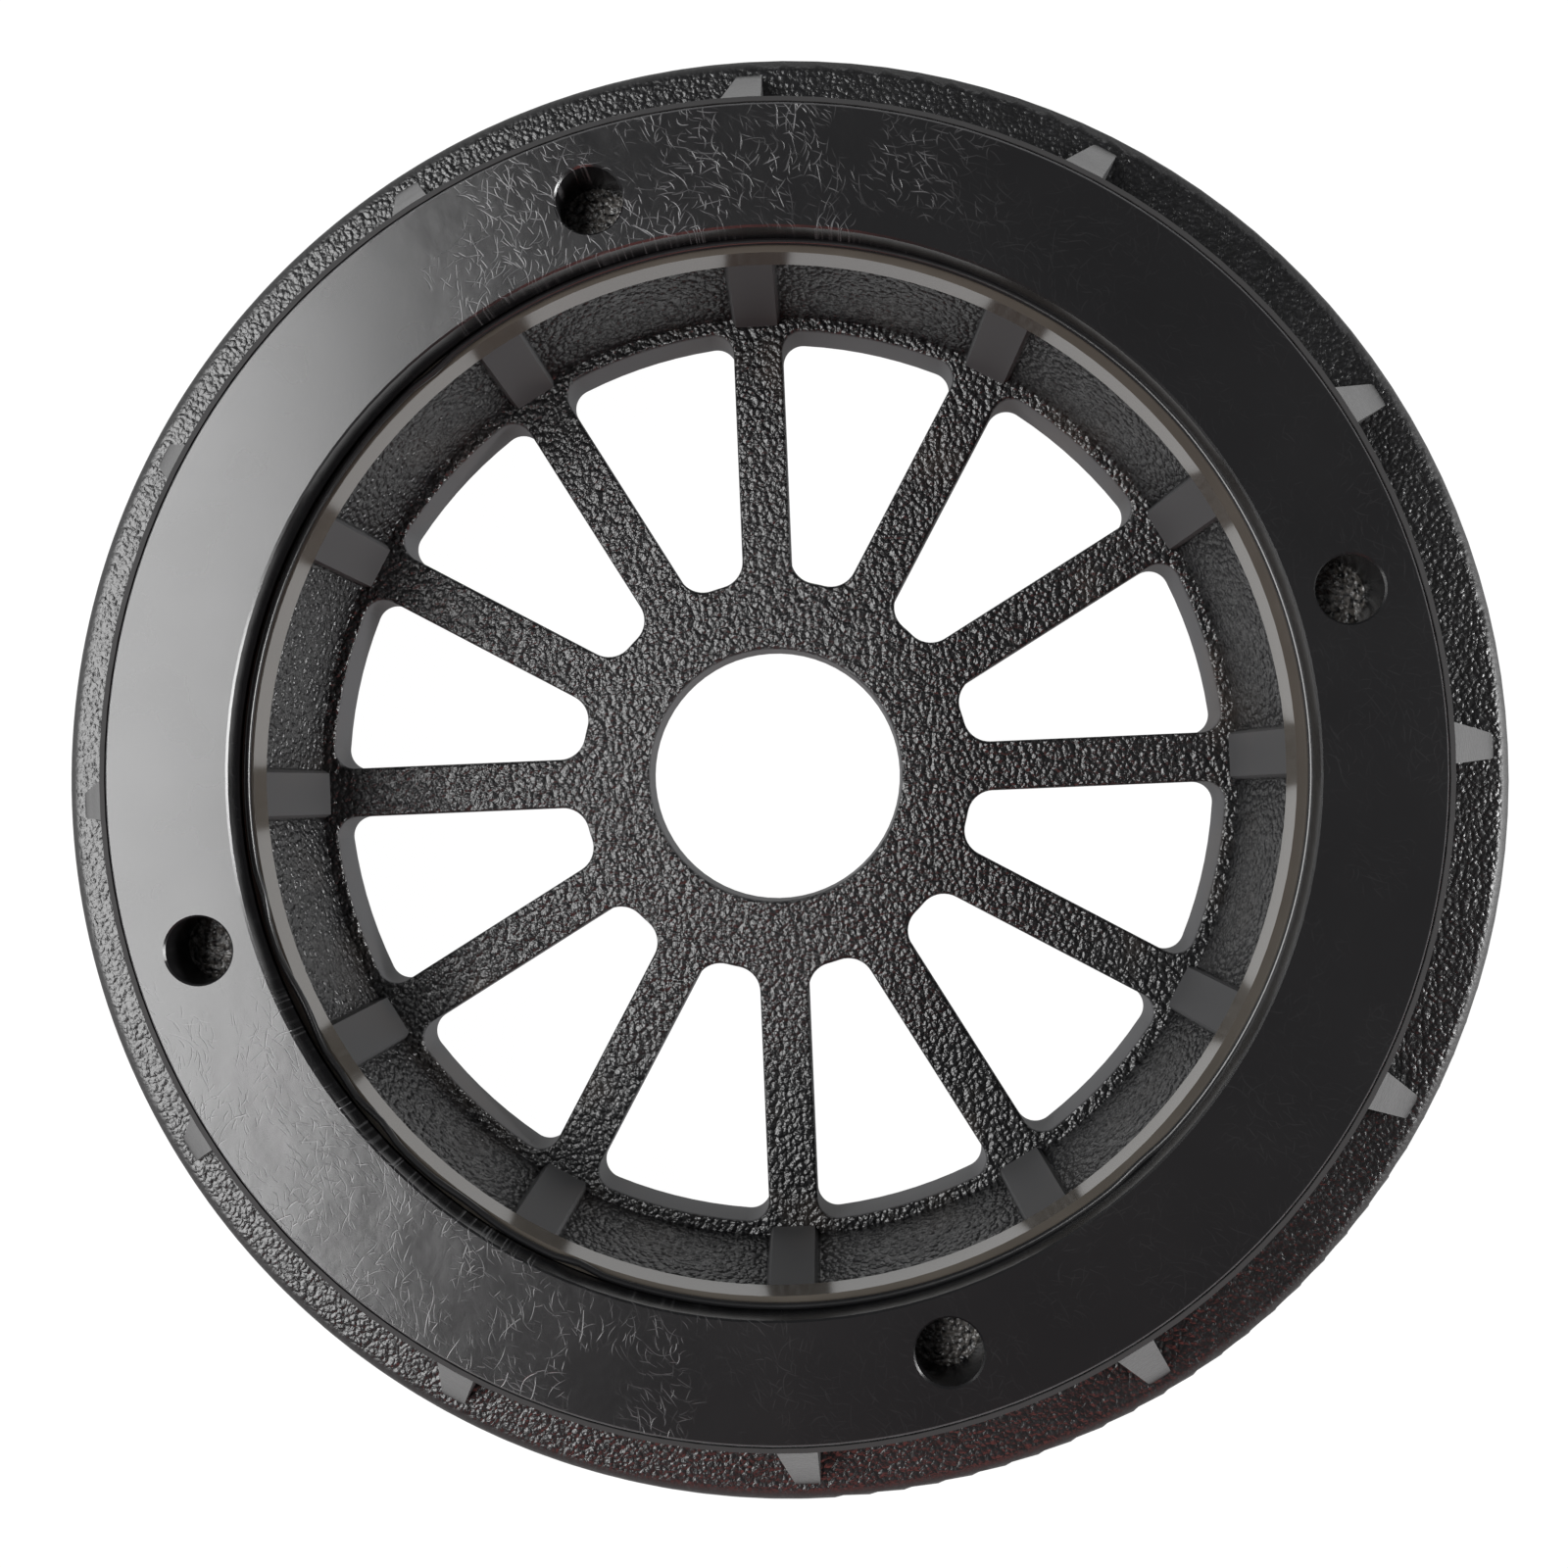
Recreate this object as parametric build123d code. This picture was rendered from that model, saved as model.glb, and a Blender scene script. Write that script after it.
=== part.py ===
"""Hand-turned pottery wheel: a spoked, flanged wheel head on a large ring bearing, with a footed base ring.

The origin is on the spin axis at bench level, +Z up. Every size is in millimetres and every angle in degrees.
Three bodies: the wheel (rim, liner, spider, face ring), the ball cage, and the base that stands on the bench.
"""
import math
import os

from build123d import *

# ---- overall sizes ----
HEIGHT = 80.0              # bench to working face
FACE_OUTER_R = 141.5       # smooth ring that carries the work
FACE_INNER_R = 115.1       # mouth of the central recess
FACE_THICKNESS = 12.3
FLANGE_DROP = 62.5         # working face down to the top of the foot flange
FLANGE_REACH = 39.3        # foot flange, out from the lip beside the face ring
FLANGE_THICKNESS = 5.5
FLANGE_ROUND = 4.0         # rolled upper edge of the foot flange

# ---- bat pins and bore ----
PIN_PCD = 254.0
PIN_HOLE_R = 7.2
PIN_COUNT = 4
PIN_ANGLE = 15.0
BORE_R = 30.0

# ---- wheel rim casting ----
WALL = 4.0
OUTER_WALL = 3.6
LIP_WIDTH = 1.0            # flat top of the outer lip beside the face ring
WALL_SPREAD = 4.3          # outer wall runs out this far over the flange drop
COVE_R = 5.0               # inside corner between outer wall and flange
RIB_COUNT = 12
RIB_WIDTH = 9.8
RIB_FLANK = 1.4            # sideways run of each sloping rib flank
RIB_HEIGHT = 2.5
PANEL_FOOT_STEP = 2.0      # grained panel behind the rib face, at the spider
RIB_FOOT_OVER_WINDOW = 1.0 # rib foot stands this far outside the window edge
FOOT_FLANGE = 5.0          # flange that seats on the spider
BOSS_HEIGHT = 12.5         # spider screw bosses behind the ribs
BOSS_WALL = 2.6
CHANNEL_FLOOR = 4.5
STIFFENER_COUNT = 24
STIFFENER = 3.0            # radial webs under the channel, which carry the upper race
STIFFENER_GAP = 0.9        # webs to the edge of the spider
RACE_BOSS_WALL = 2.0
RACE_BOSS_HEIGHT = 12.0
GUSSET_TOP_DROP = 1.0      # gusset starts this far below the working face
GUSSET_REACH = 34.3        # gusset foot, out from the lip
GUSSET_ROOT = 8.8          # gusset width at the lip
GUSSET_TIP = 6.2
GUSSET_ROUND = 2.0

# ---- recess liner ----
LEDGE_DROP = 7.8           # face to the ledge in the recess
LEDGE_WIDTH = 2.7
LINER_DROP = 15.5          # face to the lower edge of the liner

# ---- spider ----
WEB_DROP = 42.0            # face to the top of the spider
WEB_THICKNESS = 13.0
WINDOW_OUTER_R = 106.0
WINDOW_INNER_R = 46.5
WINDOW_CORNER_R = 4.8
WINDOW_END_R = 6.2
SPOKE_WIDTH = 11.6
SPIDER_OUTER_R = 119.5
EDGE_ROUND = 0.8
FACE_CHAMFER = 0.4

# ---- ring bearing ----
TRACK_R = 130.8
BALL_R = 4.5
BALL_COUNT = 30
RACE_WIDTH = 21.6
RACE_THICKNESS = 6.0
GROOVE_DEPTH = 2.25
CAGE_THICKNESS = 3.6
CAGE_WIDTH = 14.0

# ---- base and feet ----
FOOT_HEIGHT = 6.0
FOOT_R = 12.0
FOOT_COUNT = 6
FOOT_PCR = 148.0
FOOT_RECESS = 1.8          # screw head above the bench
BASE_INNER_R = 114.0
BASE_SETBACK = 16.0        # base edge in from the flange edge
BASE_LAND = 8.0            # thick part that carries the lower race
BASE_PLATE = 4.0           # thin part under the flange
SEAL_WIDTH = 2.6
SEAL_LIP = 1.0
OUTER_SEAL_R = 150.0

# ---- recess cord ----
CORD_R = 0.75

# ---- screws ----
M3_R, M3_HEAD_R, M3_HEAD = 1.5, 2.9, 1.7
M4_R, M4_HEAD_R, M4_HEAD = 2.0, 3.9, 2.3
M5_R, M5_HEAD_R, M5_HEAD = 2.5, 4.8, 2.8
RACE_SCREWS = 12
DRIVE_R = 1.1              # hex socket of an M3 screw, radius to its corners
M3_LENGTH = 13.0
M4_LENGTH = 22.0
M5_LENGTH = 12.0
FOOT_SCREW_LENGTH = 7.5

# ---- clearances ----
JOINT_GAP = 0.2            # face ring in its channel, liner in the face ring
BALL_GAP = 0.08            # ball in its groove, radially
POCKET_GAP = 0.25          # ball in its cage pocket, radially
SEAL_GAP = 0.6             # seal lip to the turning part above it
SCREW_EDGE = 0.6           # screw head to the edge of its part
CLEARANCE_HOLE = 0.3       # screw shank in a plain hole, radially

# ---- screw angles ----
FACE_SCREW_ANGLES = [PIN_ANGLE + 22.5 + 45.0 * step for step in range(8)]
RACE_ANGLES = [15.0 + 30.0 * step for step in range(RACE_SCREWS)]
FOOT_ANGLES = [60.0 * step for step in range(FOOT_COUNT)]

# ---- levels, measured up from the bench ----
CHANNEL_Z = HEIGHT - FACE_THICKNESS
FLOOR_Z = CHANNEL_Z - CHANNEL_FLOOR
LEDGE_Z = HEIGHT - LEDGE_DROP
LINER_Z = HEIGHT - LINER_DROP
FLANGE_Z = HEIGHT - FLANGE_DROP
WEB_TOP_Z = HEIGHT - WEB_DROP
WEB_BOTTOM_Z = WEB_TOP_Z - WEB_THICKNESS
LAND_Z = FOOT_HEIGHT + BASE_LAND
PLATE_Z = FOOT_HEIGHT + BASE_PLATE
LOWER_RACE_TOP_Z = LAND_Z + RACE_THICKNESS
BALL_Z = LOWER_RACE_TOP_Z + BALL_R + BALL_GAP - GROOVE_DEPTH
UPPER_RACE_Z = BALL_Z + BALL_R + BALL_GAP - GROOVE_DEPTH
SEAT_Z = UPPER_RACE_Z + RACE_THICKNESS

# ---- radii that follow ----
RACE_INNER_R = TRACK_R - RACE_WIDTH / 2
RACE_OUTER_R = TRACK_R + RACE_WIDTH / 2
LINER_INNER_R = FACE_INNER_R - LEDGE_WIDTH
LINER_OUTER_R = FACE_INNER_R - JOINT_GAP
CHANNEL_OUTER_R = FACE_OUTER_R + JOINT_GAP
LIP_R = CHANNEL_OUTER_R + LIP_WIDTH
WALL_FOOT_R = LIP_R + WALL_SPREAD
FLANGE_OUTER_R = LIP_R + FLANGE_REACH
BASE_OUTER_R = FLANGE_OUTER_R - BASE_SETBACK
RIB_FOOT_R = WINDOW_OUTER_R + RIB_FOOT_OVER_WINDOW
PANEL_FOOT_R = RIB_FOOT_R + PANEL_FOOT_STEP
UPPER_SCREW_R = RACE_INNER_R + M3_HEAD_R + SCREW_EDGE
LOWER_SCREW_R = RACE_OUTER_R - M3_HEAD_R - SCREW_EDGE
INNER_SEAL_R = BASE_INNER_R + 2 * EDGE_ROUND
SPIDER_SCREW_R = SPIDER_OUTER_R - M4_HEAD_R - SCREW_EDGE
PIN_R = PIN_PCD / 2


def ring(inner_r, outer_r, z_low, z_high):
    """A plain ring between two levels."""
    body = Cylinder(outer_r, z_high - z_low, align=(Align.CENTER, Align.CENTER, Align.MIN))
    body -= Cylinder(inner_r, z_high - z_low, align=(Align.CENTER, Align.CENTER, Align.MIN))
    return Pos(0, 0, z_low) * body


def disc(radius, z_low, z_high, x=0.0, y=0.0):
    """A plain cylinder between two levels."""
    body = Cylinder(radius, z_high - z_low, align=(Align.CENTER, Align.CENTER, Align.MIN))
    return Pos(x, y, z_low) * body


def turned(corners, rounds=()):
    """A solid of revolution from (radius, level) corners; rounds lists softened corners and their radii."""
    profile = make_face(Polyline(*corners, close=True))
    for radius, level, size in rounds:
        profile = fillet(profile.vertices().sort_by_distance((radius, level, 0))[0], size)
    return revolve(Plane.XZ * profile, Axis.Z)


def upright(corners, thickness):
    """A flat plate standing on the X axis, from (radius, level) corners."""
    return extrude(Plane.XZ * make_face(Polyline(*corners, close=True)), thickness / 2, both=True)


def outer_wall_r(level):
    """Outside radius of the rim's outer wall at a level."""
    return LIP_R + WALL_SPREAD * (HEIGHT - level) / FLANGE_DROP


def at_angle(radius, angle):
    """A point on a circle about the spin axis."""
    turn = math.radians(angle)
    return radius * math.cos(turn), radius * math.sin(turn)


def around(count, first_angle=0.0):
    """Evenly spaced angles."""
    return [first_angle + 360.0 / count * step for step in range(count)]


def fastener(shank_r, head_r, head_height, length):
    """A countersunk socket screw along +Z, its head's flat face at Z 0."""
    body = Cone(head_r, shank_r, head_height, align=(Align.CENTER, Align.CENTER, Align.MIN))
    body += disc(shank_r, 0, length)
    body -= extrude(RegularPolygon(DRIVE_R * shank_r / M3_R, 6), head_height * 0.75)
    return body


def fastener_hole(shank_r, head_r, head_height, depth):
    """The hole for a countersunk screw along +Z, its mouth at Z 0 and open below."""
    hole = disc(head_r, -1.0, 0)
    hole += Cone(head_r, shank_r, head_height, align=(Align.CENTER, Align.CENTER, Align.MIN))
    return hole + disc(shank_r, 0, depth)


def patterned(item, radius, z, angles, flip=False):
    """Copies of an item at points on a circle, pointing up, or down when flipped."""
    copies = []
    for angle in angles:
        x, y = at_angle(radius, angle)
        place = Pos(x, y, z) * Rot(0, 0, angle)
        if flip:
            place = place * Rot(180, 0, 0)
        copies.append(place * item)
    return copies


def make_wheel_rim():
    """The grained casting: outer wall and foot flange, channel for the face ring, ribbed wall of the recess."""
    body = turned([
        (LIP_R, HEIGHT), (WALL_FOOT_R, FLANGE_Z), (FLANGE_OUTER_R, FLANGE_Z),
        (FLANGE_OUTER_R, FLANGE_Z - FLANGE_THICKNESS), (WALL_FOOT_R - OUTER_WALL, FLANGE_Z - FLANGE_THICKNESS),
        (outer_wall_r(FLOOR_Z) - OUTER_WALL, FLOOR_Z), (LINER_OUTER_R + WALL, FLOOR_Z),
        (PANEL_FOOT_R + WALL, WEB_TOP_Z + FOOT_FLANGE), (SPIDER_OUTER_R, WEB_TOP_Z + FOOT_FLANGE),
        (SPIDER_OUTER_R, WEB_TOP_Z), (PANEL_FOOT_R, WEB_TOP_Z), (LINER_OUTER_R, LINER_Z),
        (LINER_OUTER_R, CHANNEL_Z), (CHANNEL_OUTER_R, CHANNEL_Z), (CHANNEL_OUTER_R, HEIGHT),
    ], [
        (WALL_FOOT_R, FLANGE_Z, COVE_R), (FLANGE_OUTER_R, FLANGE_Z, FLANGE_ROUND),
        (FLANGE_OUTER_R, FLANGE_Z - FLANGE_THICKNESS, EDGE_ROUND),
    ])
    stiffener = make_stiffener()
    body += [Rot(0, 0, angle) * stiffener for angle in around(STIFFENER_COUNT)]
    race_boss = disc(M3_R + RACE_BOSS_WALL, 0, RACE_BOSS_HEIGHT)
    body += patterned(race_boss, UPPER_SCREW_R, SEAT_Z, RACE_ANGLES)
    spider_boss = disc(M4_R + BOSS_WALL, 0, BOSS_HEIGHT)
    body += patterned(spider_boss, SPIDER_SCREW_R, WEB_TOP_Z, around(RIB_COUNT))
    rib = make_rib()
    gusset = make_gusset()
    for angle in around(RIB_COUNT):
        body += [Rot(0, 0, angle) * rib, Rot(0, 0, angle) * gusset]
    body -= patterned(disc(M4_R, 0, M4_LENGTH - WEB_THICKNESS), SPIDER_SCREW_R, WEB_TOP_Z, around(RIB_COUNT))
    body -= patterned(disc(M3_R, 0, M3_LENGTH - RACE_THICKNESS), UPPER_SCREW_R, SEAT_Z, RACE_ANGLES)
    floor_hole = fastener_hole(M5_R + CLEARANCE_HOLE, M5_HEAD_R + CLEARANCE_HOLE, M5_HEAD, CHANNEL_FLOOR + 1.0)
    return body - patterned(floor_hole, PIN_R, FLOOR_Z, FACE_SCREW_ANGLES)


def make_stiffener():
    """One radial web between the two walls of the rim, its lower edge on the upper race."""
    inner_r = SPIDER_OUTER_R + STIFFENER_GAP
    flange_level = WEB_TOP_Z + FOOT_FLANGE / 2
    top = FLOOR_Z + CHANNEL_FLOOR / 4
    return upright([
        (LINER_OUTER_R + WALL / 2, top), (PANEL_FOOT_R + WALL / 2, flange_level), (inner_r, flange_level),
        (inner_r, SEAT_Z), (outer_wall_r(SEAT_Z) - OUTER_WALL / 2, SEAT_Z),
        (outer_wall_r(top) - OUTER_WALL / 2, top),
    ], STIFFENER)


def rib_section(z, face_r):
    """Plan section of a rib: a smooth face and two sloping flanks."""
    half = RIB_WIDTH / 2
    root = face_r + RIB_HEIGHT + WALL / 2
    spread = half + RIB_FLANK * (root - face_r) / RIB_HEIGHT
    outline = Polyline((face_r, -half), (face_r, half), (root, spread), (root, -spread), close=True)
    return Pos(0, 0, z) * make_face(outline)


def make_rib():
    """One rib, from the liner down to the spider."""
    return loft([rib_section(WEB_TOP_Z, RIB_FOOT_R), rib_section(LINER_Z, LINER_INNER_R)], ruled=True)


def make_gusset():
    """One brace from the outer wall down to the foot flange, tapered in plan."""
    tip_r = LIP_R + GUSSET_REACH
    low_z = FLANGE_Z - FLANGE_THICKNESS / 3
    top_z = HEIGHT - GUSSET_TOP_DROP
    side = upright([
        (CHANNEL_OUTER_R + LIP_WIDTH / 2, top_z), (LIP_R, top_z), (tip_r, FLANGE_Z), (tip_r, low_z),
        (WALL_FOOT_R - OUTER_WALL / 2, low_z),
    ], 2 * GUSSET_ROOT)
    root = GUSSET_ROOT / 2
    tip = GUSSET_TIP / 2
    plan = make_face(Polyline((CHANNEL_OUTER_R, -root), (LIP_R, -root), (tip_r, -tip), (tip_r, tip),
                              (LIP_R, root), (CHANNEL_OUTER_R, root), close=True))
    plan = fillet(plan.vertices().sort_by(Axis.X)[-2:], GUSSET_ROUND)
    return side & extrude(Pos(0, 0, low_z) * plan, HEIGHT - low_z)


def window_outline():
    """Plan outline of one window, between two spokes, centred on the X axis."""
    half_pitch = math.radians(180.0 / RIB_COUNT)
    apex = SPOKE_WIDTH / 2 / math.sin(half_pitch)
    reach = WINDOW_OUTER_R * 1.2
    corner = (apex + reach * math.cos(half_pitch), reach * math.sin(half_pitch))
    wedge = make_face(Polyline((apex, 0), corner, (corner[0], -corner[1]), close=True))
    window = (Circle(WINDOW_OUTER_R) - Circle(WINDOW_INNER_R)) & wedge
    window = fillet(window.vertices().sort_by_distance((0, 0, 0))[:2], WINDOW_END_R)
    outer = [vertex for vertex in window.vertices() if abs(Vector(vertex).length - WINDOW_OUTER_R) < 0.01]
    return fillet(outer, WINDOW_CORNER_R)


def make_spider():
    """Hub plate, spokes and outer ring in one flat casting."""
    body = disc(SPIDER_OUTER_R, WEB_BOTTOM_Z, WEB_TOP_Z)
    body -= disc(BORE_R, WEB_BOTTOM_Z, WEB_TOP_Z)
    window = Pos(0, 0, WEB_BOTTOM_Z) * extrude(window_outline(), WEB_THICKNESS)
    body -= [Rot(0, 0, angle) * window for angle in around(RIB_COUNT, 180.0 / RIB_COUNT)]
    top_edges = body.faces().sort_by(Axis.Z)[-1].edges()
    low_edges = body.faces().sort_by(Axis.Z)[0].edges()
    body = fillet([edge for edge in top_edges + low_edges if edge.bounding_box().max.X ** 2
                   + edge.bounding_box().max.Y ** 2 < (SPIDER_OUTER_R * 0.999) ** 2], EDGE_ROUND)
    hole = fastener_hole(M4_R + CLEARANCE_HOLE, M4_HEAD_R + CLEARANCE_HOLE, M4_HEAD, WEB_THICKNESS + 1.0)
    return body - patterned(hole, SPIDER_SCREW_R, WEB_BOTTOM_Z, around(RIB_COUNT))


def make_face_ring():
    """The smooth ring that carries the work, with the bat-pin holes."""
    body = ring(FACE_INNER_R, FACE_OUTER_R, CHANNEL_Z, HEIGHT)
    body -= patterned(disc(PIN_HOLE_R, 0, FACE_THICKNESS), PIN_R, CHANNEL_Z, around(PIN_COUNT, PIN_ANGLE))
    body = chamfer(body.faces().sort_by(Axis.Z)[-1].edges(), FACE_CHAMFER)
    depth = M5_LENGTH - CHANNEL_FLOOR
    return body - patterned(disc(M5_R, 0, depth), PIN_R, CHANNEL_Z, FACE_SCREW_ANGLES)


def make_race(z_low, z_high, screw_r, head_z, flip):
    """A grooved steel ring, countersunk on its groove side."""
    body = ring(RACE_INNER_R, RACE_OUTER_R, z_low, z_high)
    body -= Pos(0, 0, BALL_Z) * Torus(TRACK_R, BALL_R + BALL_GAP)
    hole = fastener_hole(M3_R, M3_HEAD_R, M3_HEAD, RACE_THICKNESS + 1.0)
    return body - patterned(hole, screw_r, head_z, RACE_ANGLES, flip)


def make_cage():
    """The ring that spaces the balls."""
    body = ring(TRACK_R - CAGE_WIDTH / 2, TRACK_R + CAGE_WIDTH / 2, BALL_Z - CAGE_THICKNESS / 2,
                BALL_Z + CAGE_THICKNESS / 2)
    pocket = disc(BALL_R + POCKET_GAP, -CAGE_THICKNESS, CAGE_THICKNESS)
    return body - patterned(pocket, TRACK_R, BALL_Z, around(BALL_COUNT))


def make_seal(inner_r, foot_z, top_z):
    """A rubber ring that stands on the base, with a thinner lip along its top."""
    outer_r = inner_r + SEAL_WIDTH
    inset = SEAL_WIDTH / 3
    return turned([(inner_r, foot_z), (outer_r, foot_z), (outer_r, top_z - SEAL_LIP), (outer_r - inset, top_z),
                   (inner_r + inset, top_z), (inner_r, top_z - SEAL_LIP)])


def make_base_ring():
    """The ring that stands on the feet: a thick land under the race, and a plate out under the flange."""
    body = turned([
        (BASE_INNER_R, FOOT_HEIGHT), (BASE_INNER_R, LAND_Z), (RACE_OUTER_R, LAND_Z), (RACE_OUTER_R, PLATE_Z),
        (BASE_OUTER_R, PLATE_Z), (BASE_OUTER_R, FOOT_HEIGHT),
    ], [
        (BASE_INNER_R, FOOT_HEIGHT, EDGE_ROUND), (BASE_INNER_R, LAND_Z, EDGE_ROUND),
        (BASE_OUTER_R, PLATE_Z, EDGE_ROUND), (BASE_OUTER_R, FOOT_HEIGHT, EDGE_ROUND),
    ])
    body -= patterned(disc(M3_R, 0, M3_LENGTH - RACE_THICKNESS), LOWER_SCREW_R, LAND_Z, RACE_ANGLES, True)
    depth = FOOT_SCREW_LENGTH - (FOOT_HEIGHT - FOOT_RECESS)
    return body - patterned(disc(M4_R, 0, depth), FOOT_PCR, FOOT_HEIGHT, FOOT_ANGLES)


def make_foot(angle):
    """One rubber foot with a recess for its screw."""
    x, y = at_angle(FOOT_PCR, angle)
    body = disc(FOOT_R, 0, FOOT_HEIGHT)
    body = chamfer(body.edges().filter_by(GeomType.CIRCLE).sort_by(Axis.Z)[0], EDGE_ROUND)
    body -= disc(M4_HEAD_R + CLEARANCE_HOLE, 0, FOOT_RECESS)
    body -= Pos(0, 0, FOOT_RECESS) * fastener_hole(M4_R, M4_HEAD_R, M4_HEAD, FOOT_HEIGHT)
    return Pos(x, y, 0) * body


def write(name, shape):
    """One STEP file for one named piece or group of like pieces."""
    solids = shape if isinstance(shape, list) else [shape]
    export_step(Compound(label=name, children=[solid.solid() for solid in solids]), f"parts/{name}.step")


def main():
    """Make and write every piece."""
    os.makedirs("parts", exist_ok=True)
    m3 = fastener(M3_R, M3_HEAD_R, M3_HEAD, M3_LENGTH)
    m4 = fastener(M4_R, M4_HEAD_R, M4_HEAD, M4_LENGTH)
    m5 = fastener(M5_R, M5_HEAD_R, M5_HEAD, M5_LENGTH)
    foot_screw = fastener(M4_R, M4_HEAD_R, M4_HEAD, FOOT_SCREW_LENGTH)
    write("wheel_rim", make_wheel_rim())
    write("recess_liner", ring(LINER_INNER_R, LINER_OUTER_R, LINER_Z, LEDGE_Z))
    write("spider", make_spider())
    write("face_ring", make_face_ring())
    write("recess_cord", Pos(0, 0, LEDGE_Z + CORD_R) * Torus(FACE_INNER_R - CORD_R, CORD_R))
    write("face_ring_screws", patterned(m5, PIN_R, FLOOR_Z, FACE_SCREW_ANGLES))
    write("spider_screws", patterned(m4, SPIDER_SCREW_R, WEB_BOTTOM_Z, around(RIB_COUNT)))
    write("upper_race", make_race(UPPER_RACE_Z, SEAT_Z, UPPER_SCREW_R, UPPER_RACE_Z, False))
    write("upper_race_screws", patterned(m3, UPPER_SCREW_R, UPPER_RACE_Z, RACE_ANGLES))
    write("ball_cage", make_cage())
    write("balls", patterned(Sphere(BALL_R), TRACK_R, BALL_Z, around(BALL_COUNT)))
    write("lower_race", make_race(LAND_Z, LOWER_RACE_TOP_Z, LOWER_SCREW_R, LOWER_RACE_TOP_Z, True))
    write("lower_race_screws", patterned(m3, LOWER_SCREW_R, LOWER_RACE_TOP_Z, RACE_ANGLES, True))
    write("base_ring", make_base_ring())
    write("inner_seal", make_seal(INNER_SEAL_R, LAND_Z, WEB_BOTTOM_Z - SEAL_GAP))
    write("outer_seal", make_seal(OUTER_SEAL_R, PLATE_Z, FLANGE_Z - FLANGE_THICKNESS - SEAL_GAP))
    for number, angle in enumerate(FOOT_ANGLES, start=1):
        write(f"foot_{number}", make_foot(angle))
    write("foot_screws", patterned(foot_screw, FOOT_PCR, FOOT_RECESS, FOOT_ANGLES))


main()
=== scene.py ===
"""Looks for the hand-turned pottery wheel: finishes, the squeezed cord in the recess, and a plain studio."""
import math

import bpy
from mathutils import Matrix, Vector


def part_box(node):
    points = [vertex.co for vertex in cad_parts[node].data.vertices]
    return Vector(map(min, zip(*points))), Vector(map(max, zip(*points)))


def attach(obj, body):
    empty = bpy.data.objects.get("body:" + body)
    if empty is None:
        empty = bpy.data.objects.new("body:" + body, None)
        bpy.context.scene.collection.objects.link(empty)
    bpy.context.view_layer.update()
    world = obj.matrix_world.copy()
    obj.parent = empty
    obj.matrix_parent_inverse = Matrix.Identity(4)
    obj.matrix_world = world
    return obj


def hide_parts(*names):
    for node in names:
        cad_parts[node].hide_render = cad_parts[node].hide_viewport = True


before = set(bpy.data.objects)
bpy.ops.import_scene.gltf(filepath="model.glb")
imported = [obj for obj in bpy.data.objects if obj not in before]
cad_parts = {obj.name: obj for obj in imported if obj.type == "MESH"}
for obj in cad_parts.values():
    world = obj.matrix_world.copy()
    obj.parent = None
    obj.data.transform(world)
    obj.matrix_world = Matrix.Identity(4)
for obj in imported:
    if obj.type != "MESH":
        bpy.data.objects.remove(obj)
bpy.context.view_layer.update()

bl_info = {
    "name": "Pottery Wheel Finishes",
    "version": (1, 0, 0),
    "blender": (4, 5, 0),
    "location": "3D View > Sidebar > Pottery Wheel",
    "description": "Finishes and studio for a ring-bearing pottery wheel",
    "category": "Object",
}

MM = 0.001

# ---- places taken from the frame ----
FACE_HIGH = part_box("face_ring")[1]
CORD_LOW, CORD_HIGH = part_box("recess_cord")
FACE_Z = FACE_HIGH[2]
FACE_OUTER_R = FACE_HIGH[0]
WEB_TOP_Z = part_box("spider")[1][2]
RIM_OUTER_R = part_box("wheel_rim")[1][0]
RIM_BORE_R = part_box("recess_liner")[1][0]
CORD_R = (CORD_HIGH[2] - CORD_LOW[2]) / 2
CORD_PATH_R = CORD_HIGH[0] - CORD_R
LEDGE_Z = CORD_LOW[2]

# ---- sizes that the finishes line up with ----
SPOKES = 12
RIB_HALF = 4.9 * MM
RIB_FLANK = 1.4 * MM
FLANGE_Z = FACE_Z - 62.5 * MM
FLANGE_ROUND = 4.0 * MM
GUSSET_HALF = 4.6 * MM
GUSSET_TAPER = -0.036                       # a gusset narrows by this much for each unit outwards
PIN_FLOOR_Z = FACE_Z - 12.3 * MM
PIN_BAND = (119 * MM, 135 * MM)             # the pin holes lie between these radii
DUST_BAND = (82 * MM, 108 * MM)             # clay dust settles between these radii, by the ribs
# width of the pale band along the work ring's outer edge, which is a painted highlight
EDGE_HIGHLIGHT_BAND = 0.6 * MM

# ---- colours, as sRGB hex ----
DEEP_BLACK = "#0B0B0C"
MOULDING_BLACK = "#1D1D1F"
FACE_BLACK = "#0E0E0F"
RIB_GREY = "#2B2B2C"
WALL_GREY = "#2E2E30"
# grey of the hairline scratches, also used for the painted highlight along the work ring's outer edge
SCRATCH_AND_HIGHLIGHT_GREY = "#A9A9AB"
CLAY_DUST = "#4A4038"
PALE_DUST = "#5A5652"

# ---- camera and lights ----
CAMERA_RIGHT, CAMERA_DOWN = 13.9 * MM, 5.9 * MM
AIM_RIGHT, AIM_DOWN = 3.4 * MM, 2.6 * MM
CAMERA_ROLL = math.radians(-2.4)
WORLD_STRENGTH = 0.13
FRONT_SHARE = 0.1                           # the front fill's power, as a share of the right fill's


def linear(code):
    """A Blender colour from an sRGB hex code."""
    parts = [int(code[place:place + 2], 16) / 255 for place in (1, 3, 5)]
    return tuple(p / 12.92 if p <= 0.04045 else ((p + 0.055) / 1.055) ** 2.4 for p in parts) + (1.0,)


def add(tree, kind, inputs=None, **settings):
    """Add a node, set its properties, and give each input a value or a link."""
    made = tree.nodes.new(kind)
    for name, value in settings.items():
        setattr(made, name, value)
    for socket, value in (inputs or {}).items():
        if isinstance(value, bpy.types.NodeSocket):
            tree.links.new(value, made.inputs[socket])
        else:
            made.inputs[socket].default_value = value
    return made


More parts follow.
